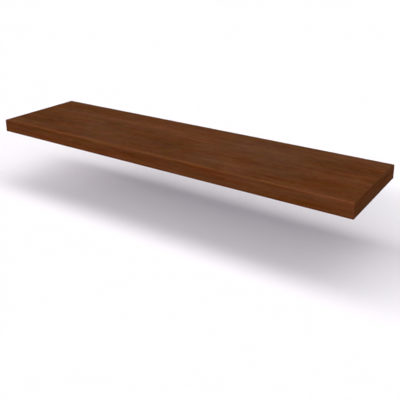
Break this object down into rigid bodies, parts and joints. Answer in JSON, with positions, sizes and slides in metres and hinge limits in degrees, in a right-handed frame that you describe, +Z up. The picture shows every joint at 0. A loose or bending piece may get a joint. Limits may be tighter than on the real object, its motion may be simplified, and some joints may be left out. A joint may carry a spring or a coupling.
{
  "type": "floating wall shelf",
  "caption": "Thick hollow wooden wall shelf that slides onto a hidden steel bracket with rods, held by lock screws from below.",
  "frame": {"origin": "on the wall plane, in the middle of the wall plate's back face", "axes": "+X along the shelf's length, to the right seen from the room; +Y into the wall, so the shelf stands out to -Y; +Z up"},
  "size_m": [1.2, 0.3, 0.04],
  "materials": {
    "walnut_finish": "satin",
    "walnut_edge_band": "satin",
    "chipboard": "matte",
    "softwood": "matte",
    "kraft_paper": "matte",
    "zinc_plated_steel": "satin",
    "blackened_steel": "satin",
    "brass": "satin"
  },
  "bodies": {
    "bracket": {"wall_plate": "zinc_plated_steel", "support_rod_1": "zinc_plated_steel", "support_rod_2": "zinc_plated_steel", "support_rod_3": "zinc_plated_steel", "support_rod_4": "zinc_plated_steel", "rod_bolt_1": "blackened_steel", "rod_bolt_2": "blackened_steel", "rod_bolt_3": "blackened_steel", "rod_bolt_4": "blackened_steel"},
    "board": {"top_skin": "walnut_finish", "bottom_skin": "walnut_finish", "front_edge_band": "walnut_edge_band", "left_edge_band": "walnut_edge_band", "right_edge_band": "walnut_edge_band", "front_rail": "chipboard", "left_end_rail": "chipboard", "right_end_rail": "chipboard", "back_rail": "chipboard", "cross_rail_1": "softwood", "cross_rail_2": "softwood", "cross_rail_3": "softwood", "cross_rail_4": "softwood", "honeycomb_core_1": "kraft_paper", "honeycomb_core_2": "kraft_paper", "honeycomb_core_3": "kraft_paper", "honeycomb_core_4": "kraft_paper", "honeycomb_core_5": "kraft_paper", "lock_insert_1": "brass", "lock_insert_2": "brass", "lock_screw_1": "blackened_steel", "lock_screw_2": "blackened_steel"}
  },
  "joints": [
    {"name": "board_slide", "type": "slide", "parent": "bracket", "child": "board", "axis": [0, -1, 0], "range_m": [0, 0.25]}
  ]
}
